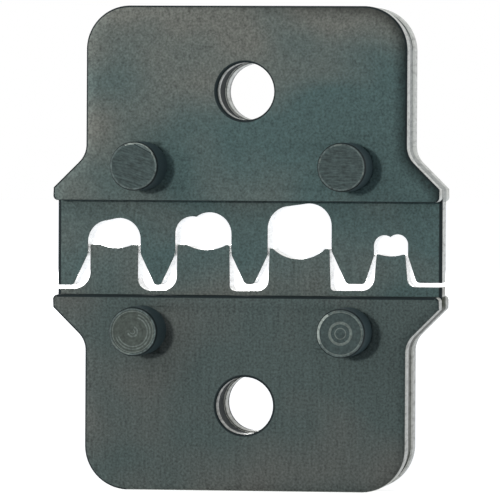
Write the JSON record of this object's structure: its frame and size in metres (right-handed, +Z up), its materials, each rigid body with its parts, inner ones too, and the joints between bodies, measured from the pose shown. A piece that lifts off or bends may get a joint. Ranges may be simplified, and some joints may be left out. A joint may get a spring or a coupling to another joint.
{
  "type": "crimping die pair",
  "caption": "Laminated steel crimping dies for a hand tool: nests in the upper half, anvils in the lower, guide pins through both.",
  "frame": {"origin": "on the base of the lower half, at its middle in X and in Y", "axes": "+X to the right and +Z up as in the picture, -Y towards the viewer; the halves close and open along Z and the bolt holes and pins run along Y"},
  "size_m": [0.0318, 0.018, 0.0397],
  "materials": {
    "profile_plate": "blackened steel, ground, satin",
    "cheek": "blackened steel, ground, satin, bare at the edges",
    "guide_pin": "hardened pin, turned and ground end faces"
  },
  "bodies": {
    "lower_die": {"lower_profile_plate": "profile_plate", "lower_front_cheek": "cheek", "lower_back_cheek": "cheek", "lower_left_pin": "guide_pin", "lower_right_pin": "guide_pin"},
    "upper_die": {"upper_profile_plate": "profile_plate", "upper_front_cheek": "cheek", "upper_back_cheek": "cheek", "upper_left_pin": "guide_pin", "upper_right_pin": "guide_pin"}
  },
  "joints": [
    {"name": "die_travel", "type": "slide", "parent": "lower_die", "child": "upper_die", "axis": [0, 0, 1], "range_m": [0, 0.012]}
  ]
}
